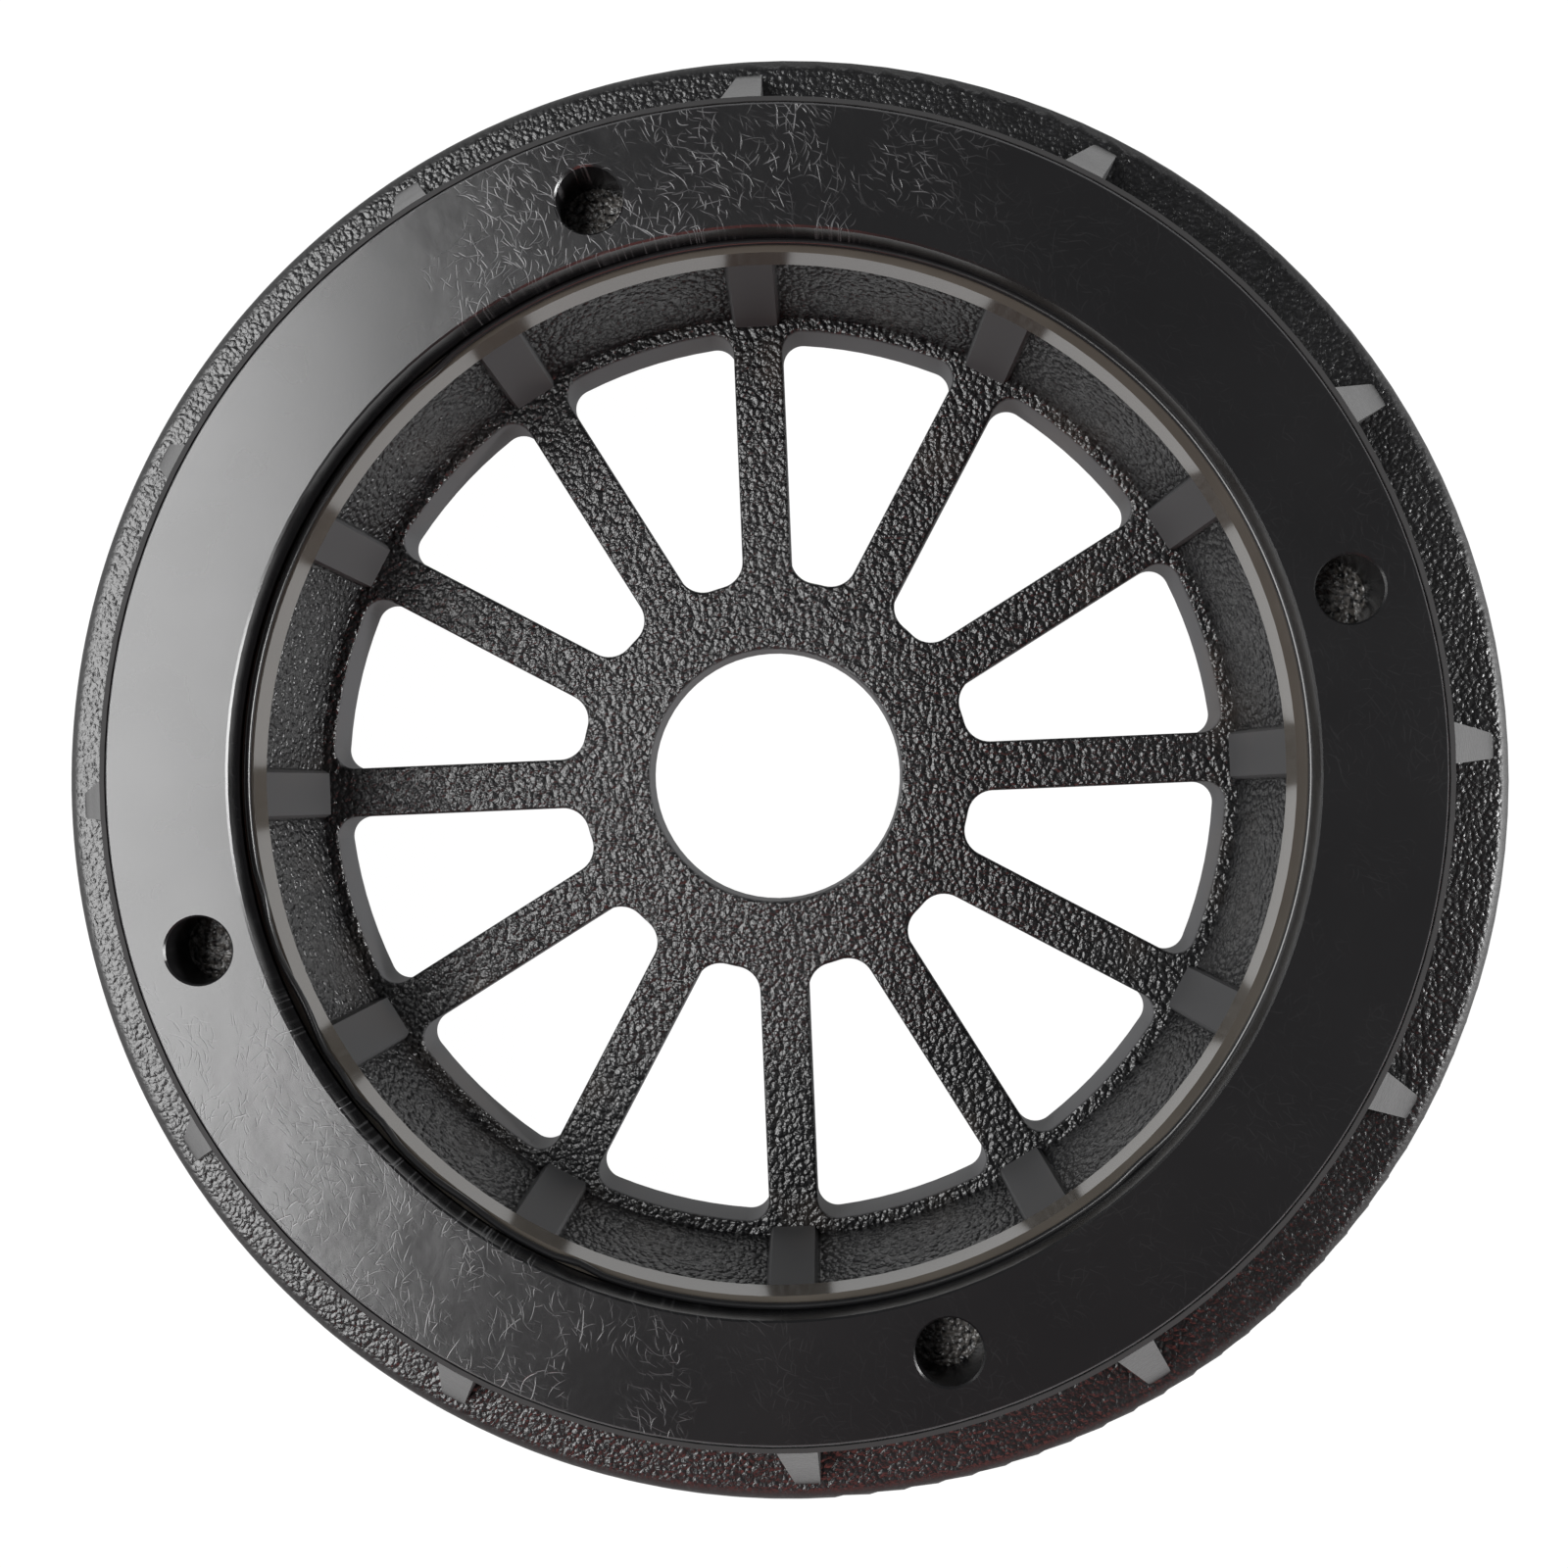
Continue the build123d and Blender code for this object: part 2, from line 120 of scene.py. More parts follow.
def fresh(name):
    """An empty material with its output node."""
    material = bpy.data.materials.new(name)
    material.use_nodes = True
    tree = material.node_tree
    tree.nodes.clear()
    return material, tree, add(tree, "ShaderNodeOutputMaterial")


def calc(tree, operation, first, second=0.0, third=0.0):
    """One Math node, and its value."""
    return add(tree, "ShaderNodeMath", {0: first, 1: second, 2: third}, operation=operation).outputs[0]


def within(tree, value, low, high, soft):
    """1 where a value lies between two limits, 0 outside, with soft edges."""
    rise = add(tree, "ShaderNodeMapRange", {"Value": value, "From Min": low - soft, "From Max": low + soft},
               interpolation_type="SMOOTHSTEP").outputs[0]
    fall = add(tree, "ShaderNodeMapRange", {"Value": value, "From Min": high - soft, "From Max": high + soft,
                                            "To Min": 1.0, "To Max": 0.0},
               interpolation_type="SMOOTHSTEP").outputs[0]
    return calc(tree, "MULTIPLY", rise, fall)


def polar(tree):
    """Object coordinates, the radius from the spin axis, the height, and the sideways run from the nearest spoke."""
    place = add(tree, "ShaderNodeTexCoord").outputs["Object"]
    parts = add(tree, "ShaderNodeSeparateXYZ", {0: place})
    flat = add(tree, "ShaderNodeCombineXYZ", {"X": parts.outputs["X"], "Y": parts.outputs["Y"]}).outputs[0]
    radius = add(tree, "ShaderNodeVectorMath", {0: flat}, operation="LENGTH").outputs["Value"]
    turn = calc(tree, "ARCTAN2", parts.outputs["Y"], parts.outputs["X"])
    fold = calc(tree, "PINGPONG", turn, math.pi / SPOKES)
    sideways = calc(tree, "MULTIPLY", radius, calc(tree, "SINE", fold))
    return place, radius, parts.outputs["Z"], sideways, turn


def grain_height(tree, place, pitch):
    """Moulded pebble grain: rounded cells of one pitch, broken up by noise half as wide."""
    warp = add(tree, "ShaderNodeTexNoise", {"Vector": place, "Scale": 0.45 / pitch,
                                            "Detail": 1.0}).outputs["Color"]
    moved = add(tree, "ShaderNodeVectorMath", {0: warp, "Scale": pitch * 0.9}, operation="SCALE").outputs[0]
    warped = add(tree, "ShaderNodeVectorMath", {0: place, 1: moved}, operation="ADD").outputs[0]
    cells = add(tree, "ShaderNodeTexVoronoi", {"Vector": warped, "Scale": 1 / pitch, "Smoothness": 0.35},
                feature="SMOOTH_F1").outputs["Distance"]
    fine = add(tree, "ShaderNodeTexNoise", {"Vector": warped, "Scale": 2.1 / pitch, "Detail": 1.5}).outputs["Fac"]
    domes = calc(tree, "SUBTRACT", 1.0, cells)
    return calc(tree, "MULTIPLY_ADD", fine, 0.55, domes)


def moulded(name, looks, bare, bare_colour):
    """Glass-filled nylon, moulded with a pebble grain that breaks a highlight into flecks.

    bare(tree, ...) gives 1 where the tool was polished or the part machined. The surface is plain there, and it
    has bare_colour inside the work ring's outer edge.
    """
    material, tree, output = fresh(name)
    place, radius, height, sideways, _ = polar(tree)
    smooth = bare(tree, radius, height, sideways)
    grained = calc(tree, "SUBTRACT", 1.0, smooth)
    relief = grain_height(tree, place, looks.grain_pitch)
    rough_cloud = add(tree, "ShaderNodeTexNoise", {"Vector": place, "Scale": 45.0, "Detail": 3.0}).outputs["Fac"]
    worn_down = calc(tree, "MULTIPLY", calc(tree, "GREATER_THAN", radius, FACE_OUTER_R), 0.5)
    depth = calc(tree, "MULTIPLY", grained, calc(tree, "SUBTRACT", 1.0, worn_down))
    grain = add(tree, "ShaderNodeBump", {"Height": relief, "Distance": looks.grain_depth, "Strength": depth})
    skin = add(tree, "ShaderNodeTexNoise", {"Vector": place, "Scale": 900.0, "Detail": 2.0}).outputs["Fac"]
    finish = add(tree, "ShaderNodeBump", {"Height": skin, "Distance": 0.02 * MM, "Strength": 0.6,
                                          "Normal": grain.outputs[0]})
    crest = add(tree, "ShaderNodeMapRange", {"Value": relief, "From Min": 0.75, "From Max": 1.15}).outputs[0]
    worn = calc(tree, "MULTIPLY", crest, grained)
    dust = add(tree, "ShaderNodeMapRange", {"Value": rough_cloud, "From Min": 0.52, "From Max": 0.72}).outputs[0]
    by_the_ribs = within(tree, radius, *DUST_BAND, 8 * MM)
    dust_here = calc(tree, "MULTIPLY", calc(tree, "MULTIPLY", dust, by_the_ribs), 0.3)
    bare_inside = calc(tree, "MULTIPLY", smooth, calc(tree, "LESS_THAN", radius, FACE_OUTER_R))
    bare_outside = calc(tree, "SUBTRACT", smooth, bare_inside)
    black = add(tree, "ShaderNodeMix", {"Factor": bare_inside, "A": linear(DEEP_BLACK), "B": linear(bare_colour)},
                data_type="RGBA")
    tint = add(tree, "ShaderNodeMix", {"Factor": calc(tree, "MULTIPLY", worn, 0.5), "A": black.outputs["Result"],
                                       "B": tuple(looks.moulding) + (1.0,)}, data_type="RGBA")
    dusty = add(tree, "ShaderNodeMix", {"Factor": dust_here, "A": tint.outputs["Result"], "B": linear(CLAY_DUST)},
                data_type="RGBA")
    hole_floor = calc(tree, "MULTIPLY", within(tree, radius, *PIN_BAND, 0.5 * MM),
                      within(tree, height, PIN_FLOOR_Z - 0.2 * MM, PIN_FLOOR_Z + 0.2 * MM, 0.05 * MM))
    crumbs = add(tree, "ShaderNodeMapRange", {"Value": skin, "From Min": 0.38, "From Max": 0.6}).outputs[0]
    strewn = calc(tree, "MULTIPLY", calc(tree, "MULTIPLY", hole_floor, crumbs), 0.7)
    settled = add(tree, "ShaderNodeMix", {"Factor": strewn, "A": dusty.outputs["Result"], "B": linear(PALE_DUST)},
                  data_type="RGBA")
    gloss = calc(tree, "MULTIPLY_ADD", rough_cloud, 0.14, 0.24)
    duller = calc(tree, "MULTIPLY_ADD", bare_outside, 0.5, gloss)
    rough = calc(tree, "MULTIPLY_ADD", calc(tree, "MAXIMUM", upright_wall(tree), bare_inside), 0.42, duller)
    shader = add(tree, "ShaderNodeBsdfPrincipled", {"Base Color": settled.outputs["Result"], "Roughness": rough,
                                                    "Normal": finish.outputs[0], "IOR": 1.53})
    tree.links.new(shader.outputs[0], output.inputs["Surface"])
    return material


def upright_wall(tree):
    """1 on upright walls below the top of the spider, which are dull."""
    facing = add(tree, "ShaderNodeNewGeometry").outputs["True Normal"]
    lean = calc(tree, "ABSOLUTE", add(tree, "ShaderNodeSeparateXYZ", {0: facing}).outputs["Z"])
    steep = add(tree, "ShaderNodeMapRange", {"Value": lean, "From Min": 0.15, "From Max": 0.02}).outputs[0]
    place = add(tree, "ShaderNodeTexCoord").outputs["Object"]
    level = add(tree, "ShaderNodeSeparateXYZ", {0: place}).outputs["Z"]
    return calc(tree, "MULTIPLY", steep, calc(tree, "LESS_THAN", level, WEB_TOP_Z))


def rim_bare(tree, radius, height, sideways):
    """Plain parts of the rim: rib faces and flanks, the outer lip, the gussets and the flange's rolled edge."""
    rib = calc(tree, "MULTIPLY", within(tree, sideways, -1.0, RIB_HALF + RIB_FLANK * 0.5, 0.3 * MM),
               within(tree, radius, 0.0, RIM_BORE_R + 0.2 * MM, 0.1 * MM))
    outside = calc(tree, "GREATER_THAN", radius, FACE_OUTER_R)
    lip = calc(tree, "MULTIPLY", outside, calc(tree, "GREATER_THAN", height, FACE_Z - 0.5 * MM))
    taper = calc(tree, "MULTIPLY_ADD", calc(tree, "SUBTRACT", radius, FACE_OUTER_R), GUSSET_TAPER,
                 GUSSET_HALF)
    gusset = calc(tree, "MULTIPLY", calc(tree, "LESS_THAN", sideways, taper),
                  calc(tree, "MULTIPLY", outside, calc(tree, "GREATER_THAN", height, FLANGE_Z + 0.3 * MM)))
    edge = within(tree, radius, RIM_OUTER_R - FLANGE_ROUND * 0.75, 1.0, FLANGE_ROUND * 0.25)
    part_bare = calc(tree, "MULTIPLY", gusset, 0.35)
    plain_parts = calc(tree, "MAXIMUM", calc(tree, "MAXIMUM", rib, lip), part_bare)
    return calc(tree, "MAXIMUM", plain_parts, calc(tree, "MULTIPLY", edge, 0.6))


def spider_bare(tree, radius, height, sideways):
    """Plain parts of the spider: the walls of the windows and the bore."""
    facing = add(tree, "ShaderNodeNewGeometry").outputs["True Normal"]
    lean = calc(tree, "ABSOLUTE", add(tree, "ShaderNodeSeparateXYZ", {0: facing}).outputs["Z"])
    return add(tree, "ShaderNodeMapRange", {"Value": lean, "From Min": 0.75, "From Max": 0.35},
               interpolation_type="SMOOTHSTEP").outputs[0]


def scratches(tree, place, cell, length, width, seed):
    """Short straight hairlines, one to a cell, each at its own place and in its own direction."""
    moved = add(tree, "ShaderNodeVectorMath", {0: place, 1: (seed, seed * 0.6, 0.0)}).outputs[0]
    sway = add(tree, "ShaderNodeTexNoise", {"Vector": moved, "Scale": 0.3 / cell}).outputs["Color"]
    bent = add(tree, "ShaderNodeVectorMath", {0: sway, "Scale": cell * 0.9}, operation="SCALE").outputs[0]
    swayed = add(tree, "ShaderNodeVectorMath", {0: moved, 1: bent}).outputs[0]
    cells = add(tree, "ShaderNodeTexVoronoi", {"Vector": swayed, "Scale": 1 / cell}, voronoi_dimensions="2D")
    local = add(tree, "ShaderNodeVectorMath", {0: swayed, 1: cells.outputs["Position"]}, operation="SUBTRACT")
    run = add(tree, "ShaderNodeSeparateXYZ", {0: local.outputs[0]})
    luck = add(tree, "ShaderNodeSeparateColor", {0: cells.outputs["Color"]})
    drift = add(tree, "ShaderNodeTexNoise", {"Vector": moved, "Scale": 0.12 / cell}).outputs["Fac"]
    angle = calc(tree, "MULTIPLY_ADD", luck.outputs["Red"], 1.1, calc(tree, "MULTIPLY", drift, math.tau * 1.5))
    sine, cosine = calc(tree, "SINE", angle), calc(tree, "COSINE", angle)
    across = calc(tree, "SUBTRACT", calc(tree, "MULTIPLY", run.outputs["X"], sine),
                  calc(tree, "MULTIPLY", run.outputs["Y"], cosine))
    along = calc(tree, "ADD", calc(tree, "MULTIPLY", run.outputs["X"], cosine),
                 calc(tree, "MULTIPLY", run.outputs["Y"], sine))
    line = add(tree, "ShaderNodeMapRange", {"Value": calc(tree, "ABSOLUTE", across), "From Min": width * 0.3,
                                            "From Max": width, "To Min": 1.0, "To Max": 0.0}).outputs[0]
    ends = add(tree, "ShaderNodeMapRange", {"Value": calc(tree, "ABSOLUTE", along), "From Min": length * 0.2,
                                            "From Max": length * 0.5, "To Min": 1.0, "To Max": 0.0}).outputs[0]
    return calc(tree, "MULTIPLY", calc(tree, "MULTIPLY", line, ends), luck.outputs["Green"])


def scuff_zone(tree, place, bearing, reach):
    """1 near one compass bearing of the work ring, fading over its reach, both in degrees."""
    turn = math.radians(bearing)
    toward = add(tree, "ShaderNodeVectorMath", {0: place}, operation="NORMALIZE").outputs[0]
    dot = add(tree, "ShaderNodeVectorMath", {0: toward, 1: (math.cos(turn), math.sin(turn), 0.0)},
              operation="DOT_PRODUCT").outputs["Value"]
    return add(tree, "ShaderNodeMapRange", {"Value": dot, "From Min": math.cos(math.radians(reach)),
                                            "From Max": 1.0},
               interpolation_type="SMOOTHSTEP").outputs[0]


def satin_face(looks):
    """Black nylon, faced flat on a lathe and rubbed: satin, with short hairline scratches and dull scuffs."""
    material, tree, output = fresh("Faced Black Nylon")
    place, radius, _, _, turn = polar(tree)
    parts = add(tree, "ShaderNodeSeparateXYZ", {0: place})
    flat = add(tree, "ShaderNodeCombineXYZ", {"X": parts.outputs["X"], "Y": parts.outputs["Y"]}).outputs[0]
    cloud = add(tree, "ShaderNodeTexNoise", {"Vector": place, "Scale": 30.0, "Detail": 4.0}).outputs["Fac"]
    speck = add(tree, "ShaderNodeTexNoise", {"Vector": place, "Scale": 1300.0, "Detail": 2.0}).outputs["Fac"]
    marks = scratches(tree, flat, 4.2 * MM, 4.6 * MM, 0.16 * MM, 0.013)
    for cell, length, width, seed in ((6.5, 8.0, 0.14, 0.031), (3.1, 3.4, 0.15, 0.057), (5.0, 6.5, 0.12, 0.079),
                                      (2.4, 2.6, 0.13, 0.094)):
        more = scratches(tree, flat, cell * MM, length * MM, width * MM, seed)
        marks = calc(tree, "MAXIMUM", marks, more)
    patch = add(tree, "ShaderNodeTexNoise", {"Vector": place, "Scale": 70.0, "Detail": 3.0}).outputs["Fac"]
    patchy = add(tree, "ShaderNodeMapRange", {"Value": patch, "From Min": 0.4, "From Max": 0.62}).outputs[0]
    zone = calc(tree, "MAXIMUM", scuff_zone(tree, flat, looks.far_scuffs, 34.0),
                calc(tree, "MULTIPLY", scuff_zone(tree, flat, looks.near_scuffs, 42.0), 0.8))
    scuffed = calc(tree, "MULTIPLY", calc(tree, "MULTIPLY", marks, patchy), calc(tree, "ADD", zone, 0.05))
    rings = add(tree, "ShaderNodeTexNoise", {"Vector": add(tree, "ShaderNodeCombineXYZ", {
        "X": calc(tree, "MULTIPLY", radius, 2400.0), "Y": calc(tree, "MULTIPLY", turn,
                                                               3.0)}).outputs[0], "Scale": 1.0,
        "Detail": 2.0}).outputs["Fac"]
    texture = calc(tree, "MULTIPLY_ADD", rings, 0.35, speck)
    fine = add(tree, "ShaderNodeBump", {"Height": texture, "Distance": 0.012 * MM, "Strength": 0.5})
    bruise = calc(tree, "MULTIPLY", calc(tree, "MULTIPLY", patch, zone), 1.6)
    dented = add(tree, "ShaderNodeBump", {"Height": bruise, "Distance": 0.35 * MM, "Strength": 0.5,
                                          "Normal": fine.outputs[0]})
    cut = add(tree, "ShaderNodeBump", {"Height": calc(tree, "SUBTRACT", 1.0, scuffed), "Distance": 0.06 * MM,
                                       "Strength": 0.8, "Normal": dented.outputs[0]})
    # a pale band along the work ring's outer edge is a painted highlight, mixed in with the same grey as the real
    # scratches
    edge = add(tree, "ShaderNodeMapRange", {"Value": radius, "From Min": FACE_OUTER_R - EDGE_HIGHLIGHT_BAND,
                                            "From Max": FACE_OUTER_R - EDGE_HIGHLIGHT_BAND * 0.4}).outputs[0]
    scratches_and_edge_highlight = calc(tree, "MAXIMUM", calc(tree, "MULTIPLY", scuffed, 0.24), calc(tree, "MULTIPLY", edge, 0.22))
    tint = add(tree, "ShaderNodeMix", {"Factor": scratches_and_edge_highlight,
                                       "A": tuple(looks.face) + (1.0,), "B": linear(SCRATCH_AND_HIGHLIGHT_GREY)}, data_type="RGBA")
    rough = calc(tree, "MULTIPLY_ADD", cloud, 0.12, 0.2)
    shader = add(tree, "ShaderNodeBsdfPrincipled", {"Base Color": tint.outputs["Result"], "Roughness": rough,
                                                    "Normal": cut.outputs[0], "IOR": 1.53})
    tree.links.new(shader.outputs[0], output.inputs["Surface"])
    return material


def plain(name, colour, rough, spread, metallic=0.0, bump=0.01, grit=700.0, ior=1.5):
    """A finish of one colour with cloudy gloss and a fine skin."""
    material, tree, output = fresh(name)
    place = add(tree, "ShaderNodeTexCoord").outputs["Object"]
    cloud = add(tree, "ShaderNodeTexNoise", {"Vector": place, "Scale": 60.0, "Detail": 3.0}).outputs["Fac"]
    grit_noise = add(tree, "ShaderNodeTexNoise", {"Vector": place, "Scale": grit, "Detail": 2.0}).outputs["Fac"]
    skin = add(tree, "ShaderNodeBump", {"Height": grit_noise, "Distance": bump * MM, "Strength": 0.7})
    base = linear(colour)
    shade = add(tree, "ShaderNodeMix", {"Factor": cloud, "A": tuple(c * 0.75 for c in base[:3]) + (1.0,),
                                        "B": tuple(min(1.0,
                                                       c * 1.25) for c in base[:3]) + (1.0,)}, data_type="RGBA")
    gloss = calc(tree, "MULTIPLY_ADD", cloud, spread, rough - spread / 2)
    shader = add(tree, "ShaderNodeBsdfPrincipled", {"Base Color": shade.outputs["Result"], "Roughness": gloss,
                                                    "Metallic": metallic, "Normal": skin.outputs[0], "IOR": ior})
    tree.links.new(shader.outputs[0], output.inputs["Surface"])
    return material


def turned_steel(name, colour, rough):
    """Ground bearing steel: fine rings around the spin axis that draw a highlight out sideways."""
    material, tree, output = fresh(name)
    _, radius, height, _, turn = polar(tree)
    lines = add(tree, "ShaderNodeTexNoise", {"Vector": add(tree, "ShaderNodeCombineXYZ", {
        "X": calc(tree, "MULTIPLY", radius, 1500.0), "Y": calc(tree, "MULTIPLY", height, 1500.0),
        "Z": turn}).outputs[0], "Scale": 1.0, "Detail": 3.0}).outputs["Fac"]
    skin = add(tree, "ShaderNodeBump", {"Height": lines, "Distance": 0.01 * MM, "Strength": 0.5})
    gloss = calc(tree, "MULTIPLY_ADD", lines, 0.2, rough - 0.1)
    shader = add(tree, "ShaderNodeBsdfPrincipled", {"Base Color": linear(colour), "Roughness": gloss,
                                                    "Metallic": 1.0,
                                                    "Normal": skin.outputs[0]})
    tree.links.new(shader.outputs[0], output.inputs["Surface"])
    return material


def dress(node, material):
    """Give a CAD node its finish."""
    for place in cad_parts[node].material_slots:
        place.material = material


class WheelLooks(bpy.types.PropertyGroup):
    """Finish sizes and colours of the wheel."""
    grain_pitch: bpy.props.FloatProperty(
        name="Grain pitch", description="Distance from one pebble of the moulded grain to the next",
        default=1.35 * MM, min=0.3 * MM, max=5 * MM, unit="LENGTH", precision=5)
    grain_depth: bpy.props.FloatProperty(
        name="Grain depth", description="Height of the moulded grain",
        default=0.6 * MM, min=0.0, max=1 * MM, unit="LENGTH", precision=5)
    moulding: bpy.props.FloatVectorProperty(
        name="Moulding", description="Colour of the moulded rim and spider", subtype="COLOR", size=3,
        default=linear(MOULDING_BLACK)[:3], min=0.0, max=1.0)
    face: bpy.props.FloatVectorProperty(
        name="Work ring", description="Colour of the smooth ring that carries the work", subtype="COLOR", size=3,
        default=linear(FACE_BLACK)[:3], min=0.0, max=1.0)
    far_scuffs: bpy.props.FloatProperty(
        name="Far scuffs", description="Bearing of the patch of scratches at the far side, in degrees",
        default=96.0, min=-360.0, max=360.0)
    near_scuffs: bpy.props.FloatProperty(
        name="Near scuffs", description="Bearing of the patch of scratches at the near left, in degrees",
        default=232.0, min=-360.0, max=360.0)


class StudioLooks(bpy.types.PropertyGroup):
    """Camera distance and light of the studio."""
    camera_rise: bpy.props.FloatProperty(
        name="Camera height", description="Camera above the working face", default=320 * MM, unit="LENGTH")
    key_power: bpy.props.FloatProperty(
        name="Key light", description="Power of the large soft light at the left", default=37.0, min=0.0,
        unit="POWER")
    fill_power: bpy.props.FloatProperty(
        name="Fill light", description="Power of the soft light at the right", default=30.0, min=0.0, unit="POWER")


class WHEEL_OT_moulded_head(bpy.types.Operator):
    """Finish the grained rim and spider"""
    bl_idname = "wheel.moulded_head"
    bl_label = "Moulded Rim and Spider"

    def execute(self, context):
        looks = context.scene.wheel_looks
        dress("wheel_rim", moulded("Grained Black Nylon Rim", looks, rim_bare, RIB_GREY))
        spider = moulded("Grained Black Nylon Spider", looks, spider_bare, WALL_GREY)
        dress("spider", spider)
        return {"FINISHED"}


class WHEEL_OT_work_ring(bpy.types.Operator):
    """Finish the smooth ring that carries the work, and the liner of the recess"""
    bl_idname = "wheel.work_ring"
    bl_label = "Work Ring"

    def execute(self, context):
        dress("face_ring", satin_face(context.scene.wheel_looks))
        # the liner is black acetal; its warm grey-brown base colour is lighter than that and is a painted reflection
        # of the bright band it mirrors
        dress("recess_liner", plain("Polished Black Acetal Liner With Painted Reflection", "#3E3A35", 0.16, 0.08, bump=0.004, ior=1.48))
        return {"FINISHED"}


class WHEEL_OT_recess_cord(bpy.types.Operator):
    """Model the soft cord in the recess, squeezed out in waves where it was pressed home"""
    bl_idname = "wheel.recess_cord"
    bl_label = "Recess Cord"

    def execute(self, context):
        bpy.ops.object.select_all(action="DESELECT")
        bpy.ops.mesh.primitive_torus_add(
            location=(0, 0, LEDGE_Z + CORD_R), major_radius=CORD_PATH_R, minor_radius=CORD_R,
            major_segments=720, minor_segments=14)
        cord = context.active_object
        cord.name = "recess_cord_squeezed"
        bpy.ops.object.transform_apply(location=True, rotation=True, scale=True)
        pull_waves(cord)
        bpy.ops.object.shade_smooth()
        rubber = plain("Black EPDM Rubber Cord", "#101011", 0.28, 0.12, bump=0.02, ior=1.52)
        cord.data.materials.append(rubber)
        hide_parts("recess_cord")
        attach(cord, "wheel")
        return {"FINISHED"}


def pull_waves(cord):
    """Pull short stretches of the cord inwards over the ledge, by proportional moves in edit mode."""
    squeezes = [(183.0, 0.9, 4.5), (191.0, 0.5, 3.0), (204.0, 1.1, 6.0), (213.0, 0.4, 2.5), (219.0, 0.9, 3.5),
                (233.0, 0.6, 5.0), (246.0, 0.8, 3.0), (311.0, 0.4, 4.0), (128.0, 0.5, 3.0)]
    for angle, run, half_width in squeezes:
        turn = math.radians(angle)
        spot = Vector((math.cos(turn), math.sin(turn), 0)) * CORD_PATH_R
        for vertex in cord.data.vertices:
            vertex.select = (Vector((vertex.co.x, vertex.co.y, 0)) - spot).length < 2 * CORD_R
        bpy.ops.object.mode_set(mode="EDIT")
        bpy.ops.transform.translate(
            value=-spot.normalized() * run * MM, use_proportional_edit=True, proportional_edit_falloff="SMOOTH",
            proportional_size=half_width * 2.2 * MM)
        bpy.ops.mesh.select_all(action="DESELECT")
        bpy.ops.object.mode_set(mode="OBJECT")


class WHEEL_OT_bearing(bpy.types.Operator):
    """Finish the races, balls, cage and seals"""
    bl_idname = "wheel.bearing"
    bl_label = "Ring Bearing"

    def execute(self, context):
        race = turned_steel("Ground Bearing Steel", "#B9BABD", 0.24)
        dress("upper_race", race)
        dress("lower_race", race)
        dress("balls", plain("Polished Chrome Steel", "#D5D6D8", 0.1, 0.05, metallic=1.0, bump=0.002))
        dress("ball_cage", plain("Natural Nylon", "#D9D2BE", 0.45, 0.1, bump=0.02))
        seal = plain("Black Nitrile Rubber", "#151516", 0.55, 0.15, bump=0.03)
        dress("inner_seal", seal)
        dress("outer_seal", seal)
        return {"FINISHED"}


class WHEEL_OT_fasteners(bpy.types.Operator):
    """Finish every screw"""
    bl_idname = "wheel.fasteners"
    bl_label = "Screws"

    def execute(self, context):
        oxide = plain("Black Oxide Steel", "#3A3A3D", 0.38, 0.15, metallic=1.0, bump=0.01, grit=1500.0)
        for group in ("face_ring_screws", "spider_screws", "upper_race_screws", "lower_race_screws",
                      "foot_screws"):
            dress(group, oxide)
        return {"FINISHED"}


class WHEEL_OT_base(bpy.types.Operator):
    """Finish the base ring and its feet"""
    bl_idname = "wheel.base"
    bl_label = "Base and Feet"

    def execute(self, context):
        dress("base_ring", plain("Moulded Black Nylon Base", "#161617", 0.42, 0.16, bump=0.05, grit=900.0,
                                 ior=1.53))
        foot = plain("Moulded Rubber Foot", "#1B1B1C", 0.62, 0.12, bump=0.05, grit=600.0)
        for number in range(1, 7):
            dress(f"foot_{number}", foot)
        return {"FINISHED"}


def soft_light(name, place, aim, size, power, colour="#FFFFFF"):
    """A rectangular soft light that points at a place."""
    lamp = bpy.data.lights.new(name, "AREA")
    lamp.shape = "RECTANGLE"
    lamp.size, lamp.size_y = size
    lamp.energy = power
    lamp.color = linear(colour)[:3]
    holder = bpy.data.objects.new(name, lamp)
    bpy.context.collection.objects.link(holder)
    turn = (Vector(aim) - Vector(place)).to_track_quat("-Z", "Y").to_matrix().to_4x4()
    holder.matrix_world = Matrix.Translation(place) @ turn
    return holder


class WHEEL_OT_studio(bpy.types.Operator):
    """Set the floor, the soft lights and the camera"""
    bl_idname = "wheel.studio"
    bl_label = "Studio"

    def execute(self, context):
        looks = context.scene.studio_looks
        bpy.ops.object.select_all(action="DESELECT")
        bpy.ops.mesh.primitive_plane_add(size=6.0, location=(0, 0, 0))
        floor = context.active_object
        floor.name = "studio_floor"
        material, tree, output = fresh("White Light Table")
        shader = add(tree, "ShaderNodeBsdfPrincipled", {
            "Base Color": linear("#202020"), "Roughness": 0.9, "Emission Color": linear("#FFFFFF"),
            "Emission Strength": 1.0})
        tree.links.new(shader.outputs[0], output.inputs["Surface"])
        floor.data.materials.append(material)
        world = bpy.data.worlds.new("Studio")
        context.scene.world = world
        world.use_nodes = True
        world.node_tree.nodes["Background"].inputs["Color"].default_value = linear("#E8E8EA")
        world.node_tree.nodes["Background"].inputs["Strength"].default_value = WORLD_STRENGTH
        context.scene.view_settings.view_transform = "Standard"
        centre = (0.0, 0.0, FACE_Z)
        soft_light("key_softbox", (-0.80, 0.06, FACE_Z + 0.92), centre, (1.25, 0.85), looks.key_power)
        soft_light("right_fill", (1.3, -0.1, 0.52), centre, (0.7, 0.4), looks.fill_power)
        soft_light("front_warm_fill", (0.1, -1.1, 0.8), centre, (0.8, 0.4), looks.fill_power * FRONT_SHARE,
                   "#FF8A80")
        set_camera(context, looks)
        return {"FINISHED"}


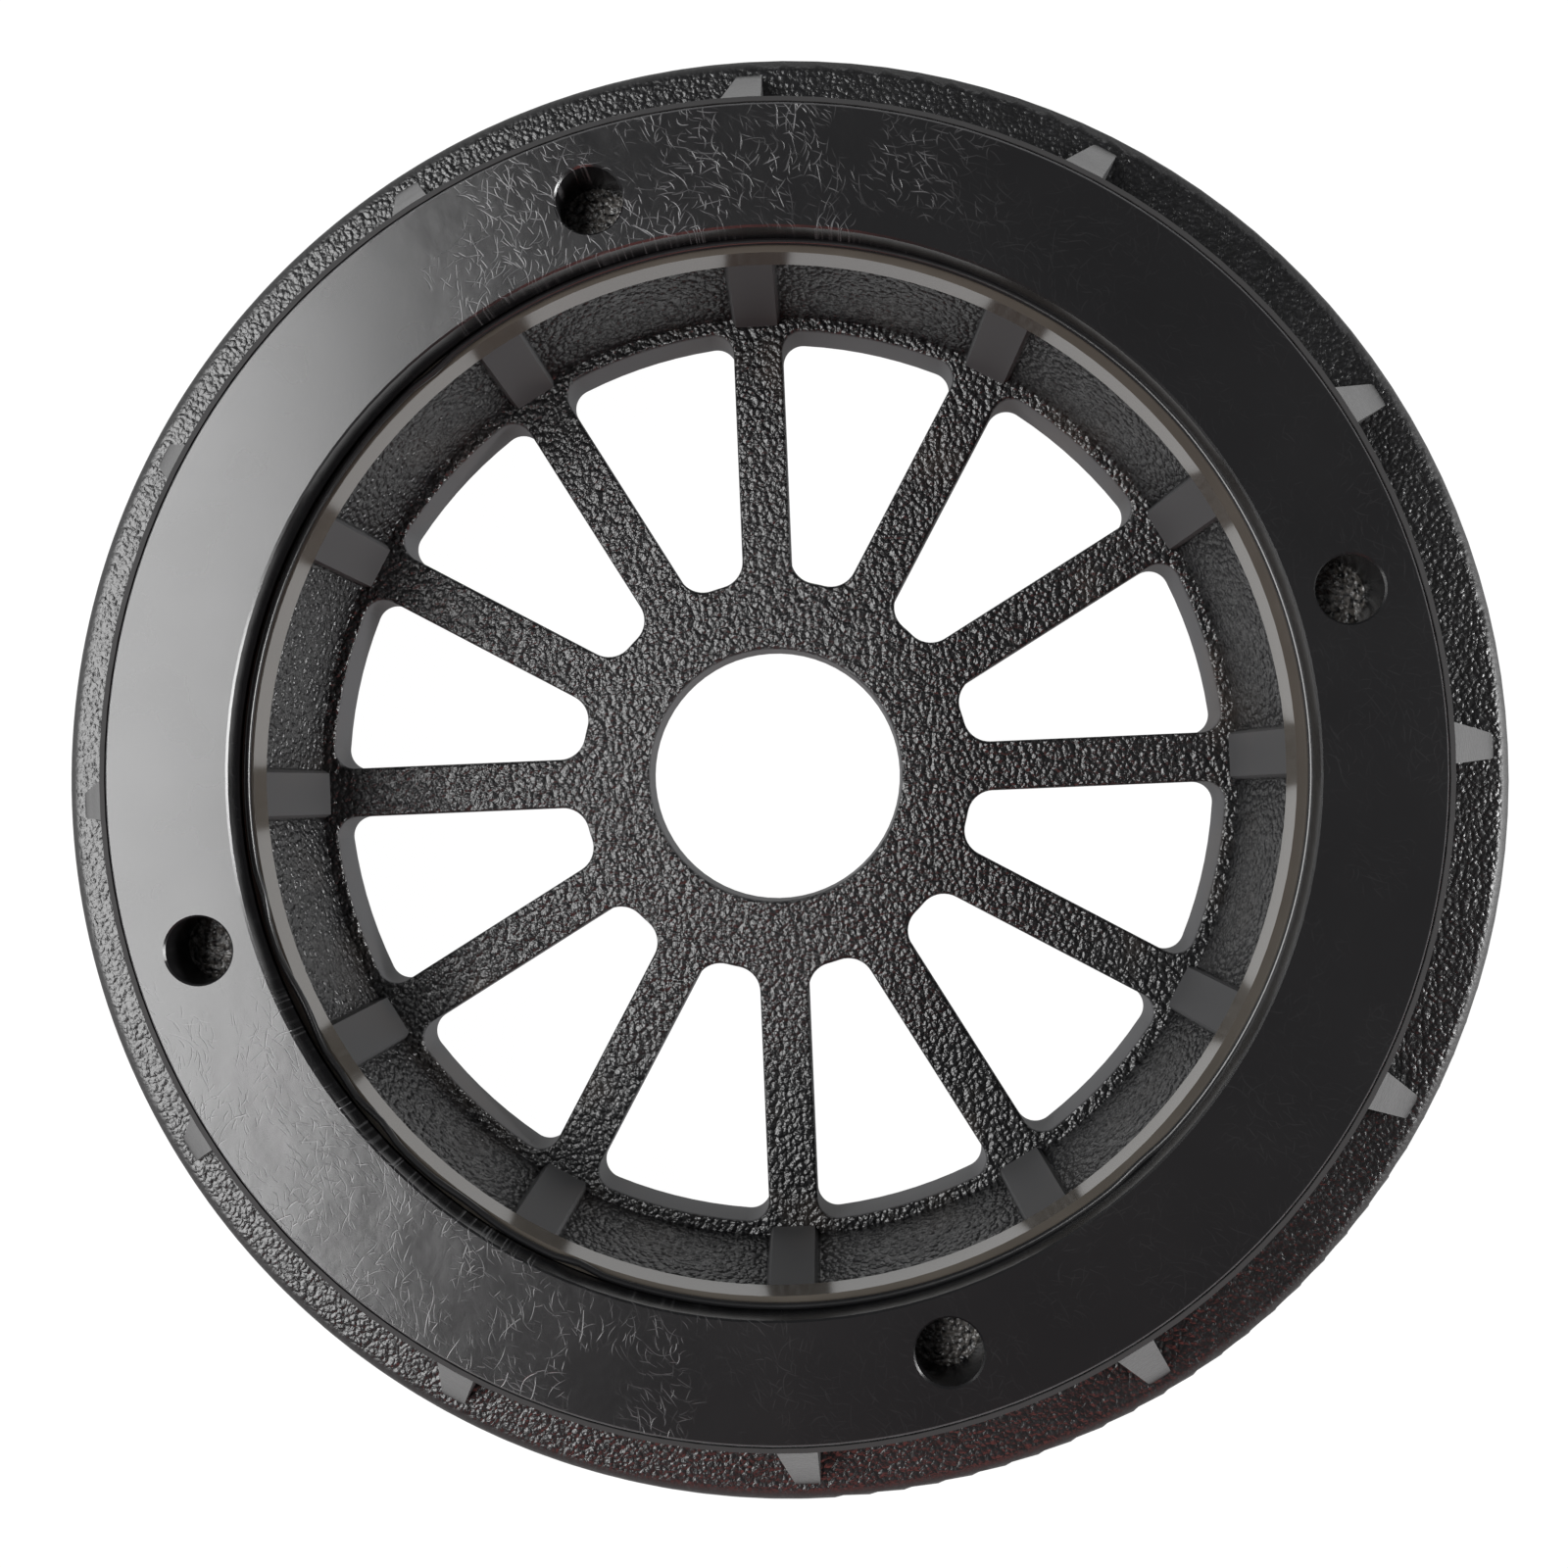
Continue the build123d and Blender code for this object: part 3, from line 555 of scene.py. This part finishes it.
def set_camera(context, looks):
    """Look down on the working face from just right of and in front of the spin axis."""
    right = Vector((math.cos(CAMERA_ROLL), math.sin(CAMERA_ROLL), 0))
    up = Vector((-math.sin(CAMERA_ROLL), math.cos(CAMERA_ROLL), 0))
    foot = right * CAMERA_RIGHT - up * CAMERA_DOWN
    place = foot + Vector((0, 0, FACE_Z + looks.camera_rise))
    aim = right * AIM_RIGHT - up * AIM_DOWN + Vector((0, 0, FACE_Z))
    back = (place - aim).normalized()
    side = up.cross(back).normalized()
    top = back.cross(side)
    lens = bpy.data.cameras.new("camera")
    lens.sensor_width = 36.0
    lens.lens = 35.0
    lens.clip_start = 0.01
    holder = bpy.data.objects.new("camera", lens)
    context.collection.objects.link(holder)
    holder.matrix_world = Matrix.Translation(place) @ Matrix((side, top, back)).transposed().to_4x4()
    context.scene.camera = holder


class WHEEL_PT_panel(bpy.types.Panel):
    """Lists the wheel's finishes and the steps that make them"""
    bl_idname = "WHEEL_PT_panel"
    bl_label = "Pottery Wheel"
    bl_space_type = "VIEW_3D"
    bl_region_type = "UI"
    bl_category = "Pottery Wheel"

    def draw(self, context):
        for group in (context.scene.wheel_looks, context.scene.studio_looks):
            for name in group.__annotations__:
                self.layout.prop(group, name)
        for step in STEPS:
            self.layout.operator(step.bl_idname)


STEPS = (WHEEL_OT_moulded_head, WHEEL_OT_work_ring, WHEEL_OT_recess_cord, WHEEL_OT_bearing, WHEEL_OT_fasteners,
         WHEEL_OT_base, WHEEL_OT_studio)
CLASSES = (WheelLooks, StudioLooks) + STEPS + (WHEEL_PT_panel,)


def register():
    """Add the classes and the scene's properties."""
    for item in CLASSES:
        bpy.utils.register_class(item)
    bpy.types.Scene.wheel_looks = bpy.props.PointerProperty(type=WheelLooks)
    bpy.types.Scene.studio_looks = bpy.props.PointerProperty(type=StudioLooks)


def unregister():
    """Remove them again."""
    del bpy.types.Scene.studio_looks
    del bpy.types.Scene.wheel_looks
    for item in reversed(CLASSES):
        bpy.utils.unregister_class(item)


def main():
    """Register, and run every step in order."""
    register()
    bpy.ops.wheel.moulded_head()
    bpy.ops.wheel.work_ring()
    bpy.ops.wheel.recess_cord()
    bpy.ops.wheel.bearing()
    bpy.ops.wheel.fasteners()
    bpy.ops.wheel.base()
    bpy.ops.wheel.studio()


if __name__ == "__main__":
    main()
